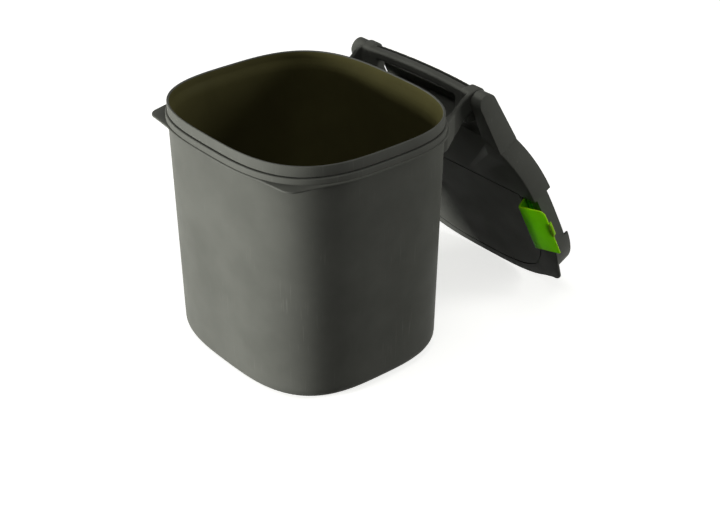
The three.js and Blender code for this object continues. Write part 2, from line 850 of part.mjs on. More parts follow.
// One hinge pin: a plain pin held blind between the bin's arm and the lid's knuckle.
function hingePin(side) {
  const inner = armInnerX + hingePinEndWall + fit;
  const outer = lidArmOuterX - hingePinEndWall - fit;
  const pin = hingeRod(hingePinRadius, ...span(side, inner, outer));
  return toMesh(side > 0 ? 'hinge_pin_right' : 'hinge_pin_left', pin, pinGrey);
}

// Hangs an object on a group that turns it about a point, round the X or Y axis, in degrees.
function turnedAbout(object, pivot, axis, angle) {
  const turn = new THREE.Group();
  turn.position.copy(pivot);
  turn.rotation[axis] = THREE.MathUtils.degToRad(angle);
  object.position.sub(pivot);
  turn.add(object);
  return turn;
}

// Everything that swings with the lid, opened back about the hinge line.
function lidAssembly() {
  const parts = new THREE.Group();
  parts.add(lidShell(), lidSeal());
  for (const side of [-1, 1]) {
    parts.add(latch(side), latchPin(side));
  }
  return turnedAbout(parts, new THREE.Vector3(0, hingeY, hingeZ), 'x', -lidOpenAngle);
}

const group = new THREE.Group();
group.add(outerBin(), innerBucket(), strainerPlate(), lidAssembly());
for (const side of [-1, 1]) {
  group.add(hingePin(side));
}

export default group;
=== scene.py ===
"""A kitchen bokashi bin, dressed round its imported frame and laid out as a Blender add-on.

Sizes in the shape functions are millimetres in the bin's own frame: +X along the lid's hinge,
-Y to the front and +Z up. The lid and its latches are shaped shut and then swung open.
"""
import json
import math

import bmesh
import bpy
from bpy.props import FloatProperty, FloatVectorProperty, IntProperty, PointerProperty
from mathutils import Matrix, Vector


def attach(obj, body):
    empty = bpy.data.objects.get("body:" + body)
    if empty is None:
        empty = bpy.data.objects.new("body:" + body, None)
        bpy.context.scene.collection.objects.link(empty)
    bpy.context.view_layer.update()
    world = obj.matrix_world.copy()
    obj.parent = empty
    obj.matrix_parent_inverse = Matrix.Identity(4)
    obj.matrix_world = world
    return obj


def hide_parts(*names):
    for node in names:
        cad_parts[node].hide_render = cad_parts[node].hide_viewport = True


bl_info = {
    "name": "Bokashi Bin",
    "version": (1, 0, 0),
    "blender": (4, 5, 0),
    "location": "3D View > Sidebar > Bokashi Bin",
    "description": "Builds the looks of a kitchen bokashi bin round its packed frame",
    "category": "Add Mesh",
}

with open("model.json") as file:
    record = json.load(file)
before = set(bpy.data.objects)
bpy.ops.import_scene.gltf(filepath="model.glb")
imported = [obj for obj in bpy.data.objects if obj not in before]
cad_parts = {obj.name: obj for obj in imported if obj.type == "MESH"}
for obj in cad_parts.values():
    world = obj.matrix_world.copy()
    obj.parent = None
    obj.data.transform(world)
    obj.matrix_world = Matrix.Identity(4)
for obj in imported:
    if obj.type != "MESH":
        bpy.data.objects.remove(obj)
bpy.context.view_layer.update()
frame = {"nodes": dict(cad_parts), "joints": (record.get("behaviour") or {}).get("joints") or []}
joints = {joint["name"]: joint for joint in frame["joints"]}

MM = 0.001
# Points that are closer than this count as one point.
SAME_PLACE = 0.001 * MM
SIDES = (-1, 1)
SIDE_NAMES = {-1: "left", 1: "right"}

# Places that several pieces share, in millimetres.
HINGE_Y, HINGE_Z = (round(place / MM, 4) for place in joints["lid_hinge"]["pos_m"][1:])
KNUCKLE_RADIUS = 9.3
PLATE_NEAR, PLATE_FAR = 85, 89.3
BAR_HALF_WIDTH, BAR_FRONT_Y = 82.2, 148.3
RIM_X = 133.6
LID_BOTTOM, LID_TOP = 258.7, 284.7
LATCH_PIN_X, LATCH_PIN_Z = 126.55, 278.8
LATCH_OPEN_DEGREES = 76


def linear_rgb(code):
    """The linear colour of an sRGB hex value."""
    channels = [int(code[i:i + 2], 16) / 255 for i in (1, 3, 5)]
    return [c / 12.92 if c <= 0.04045 else ((c + 0.055) / 1.055) ** 2.4 for c in channels]


def length(name, description, millimetres):
    """A length property whose default is given in millimetres."""
    return FloatProperty(name=name, description=description, default=millimetres * MM, unit="LENGTH")


def colour(name, description, code):
    """A colour property whose default is given as an sRGB hex value."""
    return FloatVectorProperty(
        name=name, description=description, default=linear_rgb(code), size=3, subtype="COLOR",
        min=0, max=1,
    )


class BokashiSizes(bpy.types.PropertyGroup):
    """Sizes that the bin's pieces share."""

    depth_share: FloatProperty(
        name="Depth share", description="Depth of the plan over its width", default=0.894, min=0.5, max=1
    )
    squareness: FloatProperty(
        name="Squareness", description="Power of the rounded square plan", default=3.1, min=2, max=8
    )
    lid_half_width: length("Lid half-width", "Half-width of the lid's skirt", 141.8)
    steps: IntProperty(
        name="Steps", description="Steps round the plan of each shell", default=192, min=32, max=512
    )


class BokashiColours(bpy.types.PropertyGroup):
    """Colours of the bin's materials and its stage."""

    charcoal: colour("Charcoal", "Moulded polypropylene of the bin and lid", "#5c5d57")
    # The olive colour of the bucket's inside is a painted reflection of food.
    food_reflection: colour("Charcoal with painted food reflection", "The bucket's inside, with a painted reflection of food", "#4c492c")
    lime: colour("Lime", "Moulded polypropylene of the latches", "#76e412")
    seal: colour("Seal black", "Thermoplastic rubber of the lid's seal", "#1d1e1d")
    pin: colour("Pin grey", "Acetal of the hinge and latch pins", "#3a3b3a")
    floor: colour("Floor", "Matt pale floor", "#f4f4f2")


class BokashiStage(bpy.types.PropertyGroup):
    """Where the camera stands and how strong each lamp is."""

    camera_place: FloatVectorProperty(
        name="Camera", description="Where the camera stands",
        default=(1.10313, -0.84688, 0.89204), subtype="XYZ",
    )
    camera_target: FloatVectorProperty(
        name="Target", description="The point that the camera faces",
        default=(0.03848, 0.04161, 0.09306), subtype="XYZ",
    )
    lens: FloatProperty(
        name="Lens", description="Focal length on a 36 mm sensor", default=73.994, unit="CAMERA"
    )
    key: FloatProperty(
        name="Key", description="Power of the soft lamp at the front", default=155, unit="POWER"
    )
    top: FloatProperty(
        name="Top", description="Power of the soft lamp overhead", default=34, unit="POWER"
    )
    rear: FloatProperty(
        name="Rear", description="Power of the soft lamp behind the hinge side", default=42, unit="POWER"
    )


# Materials


def add_node(tree, kind, inputs=None, **settings):
    """Adds a node, gives it its settings or its ramp's stops, and sets or links its inputs."""
    node = tree.nodes.new(kind)
    set_stops(node, settings.pop("stops", ()))
    for name, value in settings.items():
        setattr(node, name, value)
    for name, value in (inputs or {}).items():
        if isinstance(value, bpy.types.NodeSocket):
            tree.links.new(value, node.inputs[name])
        else:
            node.inputs[name].default_value = value
    return node


def new_material(name, roughness, ior):
    """A material with its tree, its main shader and the piece's own coordinates."""
    material = bpy.data.materials.new(name)
    material.use_nodes = True
    tree = material.node_tree
    shader = tree.nodes["Principled BSDF"]
    shader.inputs["Roughness"].default_value = roughness
    shader.inputs["IOR"].default_value = ior
    shader.inputs["Specular IOR Level"].default_value = 0.015
    return material, tree, shader, add_node(tree, "ShaderNodeTexCoord").outputs["Object"]


def set_stops(node, stops):
    """Gives a colour ramp its (place, colour) stops; a colour may be one grey number."""
    for i, (place, shade) in enumerate(stops):
        element = node.color_ramp.elements[i]
        element.position = place
        element.color = (*([shade] * 3 if isinstance(shade, (int, float)) else shade), 1)


def scale_of(grain_mm):
    """The scale of a pattern whose features are grain_mm across."""
    return 1 / (grain_mm * MM)


def shaded(rgb, factor):
    """A colour made lighter or darker by a factor."""
    return [min(1, channel * factor) for channel in rgb]


def moulded_polypropylene(name, rgb, roughness, scuff, glow=0.0):
    """Injection-moulded polypropylene from an etched mould.

    The eye gets a satin skin: soft wide highlights, a very fine grain, slow waves where thick and
    thin walls cooled at different rates, a cloudy pigment, and pale rubs where hands and shelves touch.
    A pale pigment lets light through a thin wall, by the share that glow gives.
    """
    material, tree, shader, place = new_material(name, roughness, ior=1.49)
    shader.inputs["Subsurface Weight"].default_value = glow
    shader.inputs["Subsurface Radius"].default_value = (1, 1.6, 0.4)
    shader.inputs["Subsurface Scale"].default_value = 14 * MM
    clouds = add_node(
        tree, "ShaderNodeTexNoise", {"Vector": place, "Scale": scale_of(45), "Detail": 3}
    )
    pigment = add_node(
        tree, "ShaderNodeValToRGB", {"Fac": clouds.outputs["Fac"]},
        stops=[(0.35, shaded(rgb, 0.93)), (0.65, shaded(rgb, 1.06))],
    )
    handled = add_node(
        tree, "ShaderNodeTexNoise", {"Vector": place, "Scale": scale_of(60), "Detail": 2}
    )
    patches = add_node(
        tree, "ShaderNodeValToRGB", {"Fac": handled.outputs["Fac"]}, stops=[(0.5, 0), (0.72, 1)]
    )
    # A rub is a bundle of upright scratches, each 26 times as long as it is wide.
    upright = add_node(tree, "ShaderNodeMapping", {"Vector": place, "Scale": (1, 1, 1 / 26)})
    scratches = add_node(
        tree, "ShaderNodeTexNoise",
        {"Vector": upright.outputs["Vector"], "Scale": scale_of(1.6), "Detail": 4},
    )
    rubs = add_node(
        tree, "ShaderNodeValToRGB", {"Fac": scratches.outputs["Fac"]}, stops=[(0.6, 0), (0.74, 1)]
    )
    worn = add_node(
        tree, "ShaderNodeMath", {0: patches.outputs[0], 1: rubs.outputs[0]}, operation="MULTIPLY"
    )
    amount = add_node(
        tree, "ShaderNodeMath", {0: worn.outputs[0], 1: scuff}, operation="MULTIPLY"
    )
    skin = add_node(
        tree, "ShaderNodeMix",
        {0: amount.outputs[0], 6: pigment.outputs[0], 7: (*shaded(rgb, 2.2), 1)},
        data_type="RGBA",
    )
    tree.links.new(skin.outputs[2], shader.inputs["Base Color"])
    etching = add_node(
        tree, "ShaderNodeTexNoise", {"Vector": place, "Scale": scale_of(30), "Detail": 4}
    )
    gloss = add_node(
        tree, "ShaderNodeValToRGB", {"Fac": etching.outputs["Fac"]},
        stops=[(0.3, roughness * 0.9), (0.7, min(1, roughness * 1.15))],
    )
    tree.links.new(gloss.outputs[0], shader.inputs["Roughness"])
    # The etched grain is about 0.1 mm on the real skin; it is drawn at 0.45 mm so that it shows.
    grain = add_node(
        tree, "ShaderNodeTexNoise", {"Vector": place, "Scale": scale_of(0.45), "Detail": 2}
    )
    fine = add_node(
        tree, "ShaderNodeBump",
        {"Height": grain.outputs["Fac"], "Strength": 0.1, "Distance": 0.05 * MM},
    )
    shrinkage = add_node(
        tree, "ShaderNodeTexNoise", {"Vector": place, "Scale": scale_of(70), "Detail": 1}
    )
    waves = add_node(
        tree, "ShaderNodeBump",
        {
            "Height": shrinkage.outputs["Fac"], "Strength": 0.35, "Distance": 1.2 * MM,
            "Normal": fine.outputs["Normal"],
        },
    )
    tree.links.new(waves.outputs["Normal"], shader.inputs["Normal"])
    return material


def thermoplastic_rubber(name, rgb):
    """Extruded thermoplastic rubber, which shows a dull black skin with a soft bloom."""
    material, tree, shader, place = new_material(name, roughness=0.75, ior=1.5)
    haze = add_node(
        tree, "ShaderNodeTexNoise", {"Vector": place, "Scale": scale_of(6), "Detail": 3}
    )
    bloom = add_node(
        tree, "ShaderNodeValToRGB", {"Fac": haze.outputs["Fac"]},
        stops=[(0.35, rgb), (0.75, shaded(rgb, 1.6))],
    )
    tree.links.new(bloom.outputs[0], shader.inputs["Base Color"])
    pores = add_node(
        tree, "ShaderNodeTexNoise", {"Vector": place, "Scale": scale_of(0.5), "Detail": 2}
    )
    skin = add_node(
        tree, "ShaderNodeBump",
        {"Height": pores.outputs["Fac"], "Strength": 0.3, "Distance": 0.1 * MM},
    )
    tree.links.new(skin.outputs["Normal"], shader.inputs["Normal"])
    return material


def turned_acetal(name, rgb):
    """Turned acetal rod, which shows a smooth slippery face with fine rings."""
    material, tree, shader, place = new_material(name, roughness=0.35, ior=1.48)
    clouds = add_node(
        tree, "ShaderNodeTexNoise", {"Vector": place, "Scale": scale_of(4), "Detail": 2}
    )
    tone = add_node(
        tree, "ShaderNodeValToRGB", {"Fac": clouds.outputs["Fac"]},
        stops=[(0.3, rgb), (0.7, shaded(rgb, 1.25))],
    )
    tree.links.new(tone.outputs[0], shader.inputs["Base Color"])
    # The tool's rings are drawn 0.3 mm apart along the pin, coarser than the real feed of 0.1 mm.
    around = add_node(tree, "ShaderNodeMapping", {"Vector": place, "Scale": (1, 1 / 8, 1 / 8)})
    feed = add_node(
        tree, "ShaderNodeTexNoise",
        {"Vector": around.outputs["Vector"], "Scale": scale_of(0.3), "Detail": 1},
    )
    rings = add_node(
        tree, "ShaderNodeBump",
        {"Height": feed.outputs["Fac"], "Strength": 0.2, "Distance": 0.05 * MM},
    )
    tree.links.new(rings.outputs["Normal"], shader.inputs["Normal"])
    return material


def matt_emulsion(name, rgb, bounce):
    """Matt emulsion on a studio floor, which shows an even white ground with soft shadows.

    It throws back only the share of the light that bounce gives.
    """
    material = bpy.data.materials.new(name)
    material.use_nodes = True
    tree = material.node_tree
    tree.nodes.clear()
    glow = add_node(tree, "ShaderNodeEmission", {"Color": (*rgb, 1), "Strength": 0.8})
    pale = add_node(tree, "ShaderNodeBsdfDiffuse", {"Color": (*rgb, 1)})
    white = add_node(tree, "ShaderNodeAddShader", {0: glow.outputs[0], 1: pale.outputs[0]})
    dull = add_node(tree, "ShaderNodeBsdfDiffuse", {"Color": (*shaded(rgb, bounce), 1)})
    mix = add_node(
        tree, "ShaderNodeMixShader", {0: seen(tree), 1: dull.outputs[0], 2: white.outputs[0]}
    )
    add_node(tree, "ShaderNodeOutputMaterial", {"Surface": mix.outputs[0]})
    return material


def seen(tree):
    """1 for rays from the camera and for those that mirror or pass the light, otherwise 0."""
    path = add_node(tree, "ShaderNodeLightPath")
    both = add_node(
        tree, "ShaderNodeMath",
        {0: path.outputs["Is Camera Ray"], 1: path.outputs["Is Glossy Ray"]},
        operation="MAXIMUM",
    )
    every = add_node(
        tree, "ShaderNodeMath",
        {0: both.outputs[0], 1: path.outputs["Is Transmission Ray"]},
        operation="MAXIMUM",
    )
    return every.outputs[0]


def finish_named(name):
    """The material of that name, made from the scene's colours the first time that it is asked for."""
    if name in bpy.data.materials:
        return bpy.data.materials[name]
    colours = bpy.context.scene.bokashi_colours
    makers = {
        "charcoal_polypropylene": lambda: moulded_polypropylene(
            name, colours.charcoal, roughness=0.46, scuff=0.35
        ),
        # The olive tint is a painted reflection of food, given to the bucket's inside and the strainer.
        "food_reflection_polypropylene": lambda: moulded_polypropylene(
            name, colours.food_reflection, roughness=0.5, scuff=0.2
        ),
        "lime_polypropylene": lambda: moulded_polypropylene(
            name, colours.lime, roughness=0.34, scuff=0.1, glow=1.0
        ),
        "thermoplastic_rubber": lambda: thermoplastic_rubber(name, colours.seal),
        "turned_acetal": lambda: turned_acetal(name, colours.pin),
    }
    return makers[name]()


# Shaping


def wire(bm, corners, closed=False):
    """Joins (half-width, height, rounding) corners into a profile and rounds its corners."""
    verts = [bm.verts.new((x * MM, 0, z * MM)) for x, z, _ in corners]
    for first, second in zip(verts, verts[1:]):
        bm.edges.new((first, second))
    if closed:
        bm.edges.new((verts[-1], verts[0]))
    round_corners(bm, verts, [corner[2] for corner in corners])


def round_corners(bm, verts, roundings):
    """Rounds corners of a wire or a flat face, each by its own reach along the edges."""
    for vert, reach in zip(verts, roundings):
        if reach:
            is_small = reach < 3
            bmesh.ops.bevel(
                bm, geom=[vert], offset=reach * MM, offset_type="OFFSET", segments=3 if is_small else 8,
                profile=0.5, affect="VERTICES", material=-1,
            )


def square_point(x, y):
    """The point on the rounded square plan that a point of a round plan goes to."""
    sizes = bpy.context.scene.bokashi_sizes
    radius = math.hypot(x, y)
    if radius == 0:
        return 0.0, 0.0
    power = sizes.squareness
    reach = (abs(x / radius) ** power + abs(y / radius) ** power) ** (-1 / power)
    return x * reach, y * reach * sizes.depth_share


def lathe(corners, closed=False):
    """Turns a profile round the Z axis and squares its plan."""
    bm = bmesh.new()
    wire(bm, corners, closed)
    bmesh.ops.spin(
        bm, geom=bm.verts[:] + bm.edges[:], cent=(0, 0, 0), dvec=(0, 0, 0), axis=(0, 0, 1),
        angle=2 * math.pi, steps=bpy.context.scene.bokashi_sizes.steps, use_merge=True,
    )
    bmesh.ops.remove_doubles(bm, verts=bm.verts[:], dist=SAME_PLACE)
    for vert in bm.verts:
        vert.co.x, vert.co.y = square_point(vert.co.x, vert.co.y)
    bmesh.ops.recalc_face_normals(bm, faces=bm.faces[:])
    return bm


def plate(outline, low, high, axis="Z"):
    """Extrudes an outline of (a, b, rounding) points along an axis from low to high.

    The outline lies in XY for Z, in YZ for X, and in XZ for Y.
    """
    places = {
        "X": lambda a, b: (low, a, b),
        "Y": lambda a, b: (a, low, b),
        "Z": lambda a, b: (a, b, low),
    }
    bm = bmesh.new()
    verts = [bm.verts.new(Vector(places[axis](a, b)) * MM) for a, b, _ in outline]
    bm.faces.new(verts)
    round_corners(bm, verts, [point[2] for point in outline])
    grown = bmesh.ops.extrude_face_region(bm, geom=bm.faces[:])
    reach = {"X": (1, 0, 0), "Y": (0, 1, 0), "Z": (0, 0, 1)}[axis]
    moved = [item for item in grown["geom"] if isinstance(item, bmesh.types.BMVert)]
    bmesh.ops.translate(bm, verts=moved, vec=Vector(reach) * (high - low) * MM)
    bmesh.ops.recalc_face_normals(bm, faces=bm.faces[:])
    return bm


def box(low, high):
    """A box from its lowest corner to its highest."""
    low, high = Vector(low) * MM, Vector(high) * MM
    bm = bmesh.new()
    place = Matrix.Translation((low + high) / 2) @ Matrix.Diagonal((*(high - low), 1))
    bmesh.ops.create_cube(bm, size=1, matrix=place)
    return bm


def rod(centre, radius, length_mm):
    """A round rod along Y."""
    bm = bmesh.new()
    turn = Matrix.Rotation(math.pi / 2, 4, "X")
    bmesh.ops.create_cone(
        bm, cap_ends=True, segments=48, radius1=radius * MM, radius2=radius * MM,
        depth=length_mm * MM, matrix=Matrix.Translation(Vector(centre) * MM) @ turn,
    )
    return bm


def trim(bm, point, outside):
    """Cuts away what lies past a plane, on the side that outside points to, and closes the cut."""
    cut = bmesh.ops.bisect_plane(
        bm, geom=bm.verts[:] + bm.edges[:] + bm.faces[:], plane_co=Vector(point) * MM,
        plane_no=Vector(outside).normalized(), clear_outer=True,
    )
    edges = [item for item in cut["geom_cut"] if isinstance(item, bmesh.types.BMEdge)]
    bmesh.ops.holes_fill(bm, edges=edges)
    bmesh.ops.recalc_face_normals(bm, faces=bm.faces[:])


def soften(bm, reach, angle=50, segments=3):
    """Rounds every edge that is sharper than an angle."""
    limit = math.radians(angle)
    sharp = [e for e in bm.edges if len(e.link_faces) == 2 and e.calc_face_angle(0) > limit]
    bmesh.ops.bevel(
        bm, geom=sharp, offset=reach * MM, offset_type="OFFSET", segments=segments, profile=0.5,
        affect="EDGES", clamp_overlap=True, material=-1,
    )
    return bm


def merged(parts):
    """One mesh made of several, each part freed."""
    whole = bmesh.new()
    for part in parts:
        mesh = bpy.data.meshes.new("part")
        part.to_mesh(mesh)
        part.free()
        whole.from_mesh(mesh)
        bpy.data.meshes.remove(mesh)
    return whole


def new_object(bm, name):
    """An object that holds a mesh, linked to the scene."""
    mesh = bpy.data.meshes.new(name)
    bm.to_mesh(mesh)
    bm.free()
    thing = bpy.data.objects.new(name, mesh)
    bpy.context.scene.collection.objects.link(thing)
    return thing


def settled(thing):
    """Takes what an object's modifiers make as a mesh of its own, and removes the object."""
    graph = bpy.context.evaluated_depsgraph_get()
    mesh = bpy.data.meshes.new_from_object(thing.evaluated_get(graph), depsgraph=graph)
    bm = bmesh.new()
    bm.from_mesh(mesh)
    bpy.data.meshes.remove(mesh)
    old = thing.data
    bpy.data.objects.remove(thing)
    bpy.data.meshes.remove(old)
    return bm


def carved(bm, tools):
    """Joins and cuts a mesh in order with (operation, tool mesh) pairs."""
    for operation, tool in tools:
        thing = new_object(bm, "blank")
        cutter = new_object(tool, "tool")
        carve = thing.modifiers.new("carve", "BOOLEAN")
        carve.operation = operation
        carve.solver = "MANIFOLD"
        carve.object = cutter
        bm = settled(thing)
        old = cutter.data
        bpy.data.objects.remove(cutter)
        bpy.data.meshes.remove(old)
    bmesh.ops.remove_doubles(bm, verts=bm.verts[:], dist=2 * SAME_PLACE)
    return bm


def fused(parts, grain, passes):
    """Fuses overlapping solids into one skin and smooths it, which rounds edges and fills corners."""
    thing = new_object(merged(parts), "blank")
    remesh = thing.modifiers.new("fuse", "REMESH")
    remesh.mode = "VOXEL"
    remesh.voxel_size = grain * MM
    bm = settled(thing)
    for _ in range(passes):
        bmesh.ops.smooth_vert(
            bm, verts=bm.verts[:], factor=0.5, use_axis_x=True, use_axis_y=True, use_axis_z=True
        )
    return bm


def place_piece(bm, name, body, finishes, nodes=(), crisp=32):
    """Makes a finished piece of a mesh: its materials, its shading, its body and what it stands for."""
    piece = new_object(bm, name)
    for finish in finishes:
        piece.data.materials.append(finish_named(finish))
    piece.data.shade_smooth()
    if crisp:
        piece.data.set_sharp_from_angle(angle=math.radians(crisp))
    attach(piece, body)
    if nodes:
        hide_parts(*nodes)
    return piece


def lid_turn():
    """The turn that swings the shut lid back about its hinge line."""
    joint = joints["lid_hinge"]
    hinge = Vector(joint["pos_m"])
    angle = math.radians(joint["range_deg"][0])
    return Matrix.Translation(hinge) @ Matrix.Rotation(angle, 4, "X") @ Matrix.Translation(-hinge)


# Outer bin


def outer_shell():
    """The outer bin's shell: a footed base, tapered walls and the bead that carries the bucket."""
    return lathe([
        (0, 1.4, 0), (103, 1.4, 0.6), (104.5, 0, 0.6), (129.5, 0, 16.5), (134.6, 254.2, 0),
        (136.8, 254.2, 0), (136.8, 261.7, 0.9), (132.4, 261.7, 0.6), (127.2, 2.6, 12.5), (0, 2.6, 0),
    ])


def outline_arc(half_width, start, end):
    """Points of the plan outline between two polar angles in degrees."""
    steps = bpy.context.scene.bokashi_sizes.steps
    count = max(2, round(abs(end - start) / 360 * steps))
    points = []
    for i in range(count + 1):
        angle = math.radians(start + (end - start) * i / count)
        points.append(square_point(half_width * math.cos(angle), half_width * math.sin(angle)))
    return points


def tip_arc(x, y, radius, start, end, count=10):
    """Points of a round tip between two angles in degrees."""
    points = []
    for i in range(count + 1):
        angle = math.radians(start + (end - start) * i / count)
        points.append((x + radius * math.cos(angle), y + radius * math.sin(angle)))
    return points


def tabbed_outline(half_width, tip, radius, side, front):
    """The plan outline with a round finger tab at each front corner.

    Each tab leaves the outline at the polar angles side and front, in degrees.
    """
    x, y = tip
    return [
        *outline_arc(half_width, -side, 180 + side),
        *tip_arc(-x, -y, radius, -162, -86),
        *outline_arc(half_width, 180 + front, 360 - front),
        *tip_arc(x, -y, radius, -94, -18),
    ]


def ring_plate(outer, inner, low, high, rounding):
    """A flat ring between two outlines with as many points, with its outer edges rounded."""
    bm = bmesh.new()
    loops = []
    for points in (outer, inner):
        verts = [bm.verts.new((x * MM, y * MM, low * MM)) for x, y in points]
        loops.append([bm.edges.new((verts[i - 1], verts[i])) for i in range(len(verts))])
    bmesh.ops.bridge_loops(bm, edges=loops[0] + loops[1])
    grown = bmesh.ops.extrude_face_region(bm, geom=bm.faces[:])
    moved = [item for item in grown["geom"] if isinstance(item, bmesh.types.BMVert)]
    bmesh.ops.translate(bm, verts=moved, vec=(0, 0, (high - low) * MM))
    bmesh.ops.recalc_face_normals(bm, faces=bm.faces[:])
    return soften(bm, rounding) if rounding else bm


def inner_loop(points, half_width):
    """For each point of an outline, the point of a narrower plan outline in the same direction."""
    depth_share = bpy.context.scene.bokashi_sizes.depth_share
    loop = []
    for x, y in points:
        y = y / depth_share
        radius = math.hypot(x, y)
        loop.append(square_point(x / radius * half_width, y / radius * half_width))
    return loop


def rim_flange():
    """The flange under the bead, with a finger tab at each front corner."""
    outer = tabbed_outline(139, tip=(107.5, 99), radius=15, side=31.9, front=59.3)
    return ring_plate(outer, inner_loop(outer, RIM_X), 253.5, 255.5, rounding=0.7)


def knuckle_arc():
    """The round rear of a hinge knuckle, as unrounded corners in Y and Z."""
    return [(*point, 0) for point in tip_arc(HINGE_Y, HINGE_Z, KNUCKLE_RADIUS, -54, 99, 14)]


def bracket_outline():
    """Side outline, in Y and Z, of the bracket that carries a hinge knuckle."""
    return [
        (96.5, 221.1, 0), (129, 229.5, 6), (142.7, 247.2, 6),
        *knuckle_arc(),
        (142.7, 271.8, 6), (123, 255.5, 3), (96.5, 253.5, 0),
    ]


def stretch(side, near, far):
    """The two ends, in rising order, of a stretch along X on the side given by its sign."""
    return (near, far) if side > 0 else (-far, -near)


def bracket(side):
    """One bracket's plate with the web that spreads its foot along the wall."""
    arm = plate(bracket_outline(), *stretch(side, PLATE_NEAR, PLATE_FAR), "X")
    web = plate(bracket_outline(), *stretch(side, 86, 100), "X")
    trim(web, (side * PLATE_FAR, 127.7, 0), (side * 19.7, 10.7, 0))
    trim(web, (0, 0, 255.4), (0, 0, 1))
    return carved(arm, [("UNION", web), ("DIFFERENCE", bin_room())])


def bin_room():
    """The room inside the bin's rear wall, which the brackets' roots keep out of."""
    return lathe([(0, 200, 0), (132, 200, 0), (133.2, 258, 0), (0, 258, 0)])


def carrying_bar():
    """The bowed bar between the brackets, with a slot near its rear top edge."""
    bow = 5.6
    radius = (BAR_HALF_WIDTH ** 2 + bow ** 2) / (2 * bow)
    y, z = HINGE_Y - 5.3 + bow, HINGE_Z + 1.6
    section = [
        (7.75, -5.25, 3), (7.75, 5.25, 0.6), (5.55, 5.25, 0.4), (5.55, 0.25, 0), (2.55, 0.25, 0),
        (2.55, 5.25, 0.8), (-7.75, 5.25, 3), (-7.75, -5.25, 1.4),
    ]
    bm = bmesh.new()
    verts = [bm.verts.new((0, (y + a) * MM, (z + b) * MM)) for a, b, _ in section]
    bm.faces.new(verts)
    round_corners(bm, verts, [point[2] for point in section])
    half_turn = math.asin(BAR_HALF_WIDTH / radius)
    hub = Vector((0, (y - radius) * MM, 0))
    start = Matrix.Rotation(-half_turn, 3, "Z")
    bmesh.ops.rotate(bm, verts=bm.verts[:], cent=hub, matrix=start)
    bmesh.ops.spin(
        bm, geom=bm.verts[:] + bm.edges[:] + bm.faces[:], cent=hub, dvec=(0, 0, 0), axis=(0, 0, 1),
        angle=2 * half_turn, steps=40, use_merge=False,
    )
    bmesh.ops.recalc_face_normals(bm, faces=bm.faces[:])
    return bm


def knuckle(side):
    """The block round a hinge pin, which takes the end of the bar."""
    outline = [*knuckle_arc(), (BAR_FRONT_Y, 273.5, 3), (BAR_FRONT_Y, 263.1, 0)]
    return plate(outline, *stretch(side, 75, PLATE_FAR), "X")


def post(side):
    """The post under one end of the bar, with the filler in the window's upper corner."""
    near, far, rear = 63, 87, 163.7
    plan = [
        (near, 150.6, 3), (BAR_HALF_WIDTH, BAR_FRONT_Y, 0), (far, BAR_FRONT_Y, 0), (far, rear, 0),
        (near, rear, 3),
    ]
    corner = [(59, 264.5, 0), (65, 264.5, 0), (65, 258, 0)]
    return [
        plate([(side * x, y, r) for x, y, r in plan], 238, 268),
        plate([(side * x, z, r) for x, z, r in corner], 151.6, 163, "Y"),
    ]


def wall_root(side):
    """A slice of the rear wall under its skin, which the brackets fuse to."""
    wall = lathe([
        (132.6, 215, 0), (RIM_X, 215, 0), (134.3, 253.8, 0), (138.6, 253.8, 0), (138.6, 255.2, 0),
        (136.5, 255.2, 0), (136.5, 261.2, 0), (132.8, 261.2, 0),
    ], closed=True)
    trim(wall, (0, 60, 0), (0, -1, 0))
    trim(wall, (side * 64, 0, 0), (-side, 0, 0))
    trim(wall, (side * 112, 0, 0), (side, 0, 0))
    return wall


def carrying_frame():
    """Both brackets and the bar, fused to each other and to the wall with rounded corners."""
    parts = [carrying_bar()]
    for side in SIDES:
        parts += [bracket(side), knuckle(side), *post(side), wall_root(side)]
    return fused(parts, grain=0.8, passes=6)


class BOKASHI_OT_outer_bin(bpy.types.Operator):
    """Builds the outer bin: its shell, its flange with finger tabs, and its carrying frame"""

    bl_idname = "bokashi.outer_bin"
    bl_label = "Outer bin"

    def execute(self, context):
        body, slot = "bin_body", "charcoal_plastic"
        finishes, nodes = ["charcoal_polypropylene"], ["outer_bin"]
        place_piece(merged([outer_shell(), rim_flange()]), "bin_shell", body, finishes, nodes)
        place_piece(carrying_frame(), "carrying_frame", body, finishes, nodes, crisp=0)
        return {"FINISHED"}


# Bucket and strainer


def bucket_shell():
    """The lift-out bucket: a banded rim, tapered walls and the ledge that carries the strainer."""
    return lathe([
        (112.3, 30, 0.5), (125.5, 30, 2.5), (131.4, 262, 0), (133.5, 262, 0.2), (133.5, 263.1, 0),
        (135, 263.1, 0.35), (135, 274.1, 1), (132.6, 274.1, 1), (132.6, 265.3, 1.5), (129.2, 257, 4),
        (123.3, 32.2, 2.5), (112.3, 32.2, 0.5),
    ], closed=True)


class BOKASHI_OT_inner_bucket(bpy.types.Operator):
    """Builds the lift-out bucket, with a plain rim and an olive tint painted on its inside as a
    reflection of food
    """

    bl_idname = "bokashi.inner_bucket"
    bl_label = "Inner bucket"

    def execute(self, context):
        finishes = ["charcoal_polypropylene", "food_reflection_polypropylene"]
        piece = place_piece(
            bucket_shell(), "bucket", "bucket_body", finishes, ["inner_bucket"]
        )
        # Inward faces below the rim take the olive tint, a painted reflection of food.
        plain_above = 273 * MM
        for face in piece.data.polygons:
            outward = face.normal.x * face.center.x + face.normal.y * face.center.y
            face.material_index = 1 if outward < 0 and face.center.z < plain_above else 0
        return {"FINISHED"}


class BOKASHI_OT_strainer(bpy.types.Operator):
    """Finishes the strainer plate in the bucket's olive plastic, whose tint is a painted reflection of
    food
    """

    bl_idname = "bokashi.strainer"
    bl_label = "Strainer"

    def execute(self, context):
        dress_node("strainer_plate", "food_reflection_polypropylene")
        return {"FINISHED"}


def dress_node(name, finish):
    """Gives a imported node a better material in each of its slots."""
    data = frame["nodes"][name].data
    if not data.materials:
        data.materials.append(None)
    for i in range(len(data.materials)):
        data.materials[i] = finish_named(finish)


# Lid


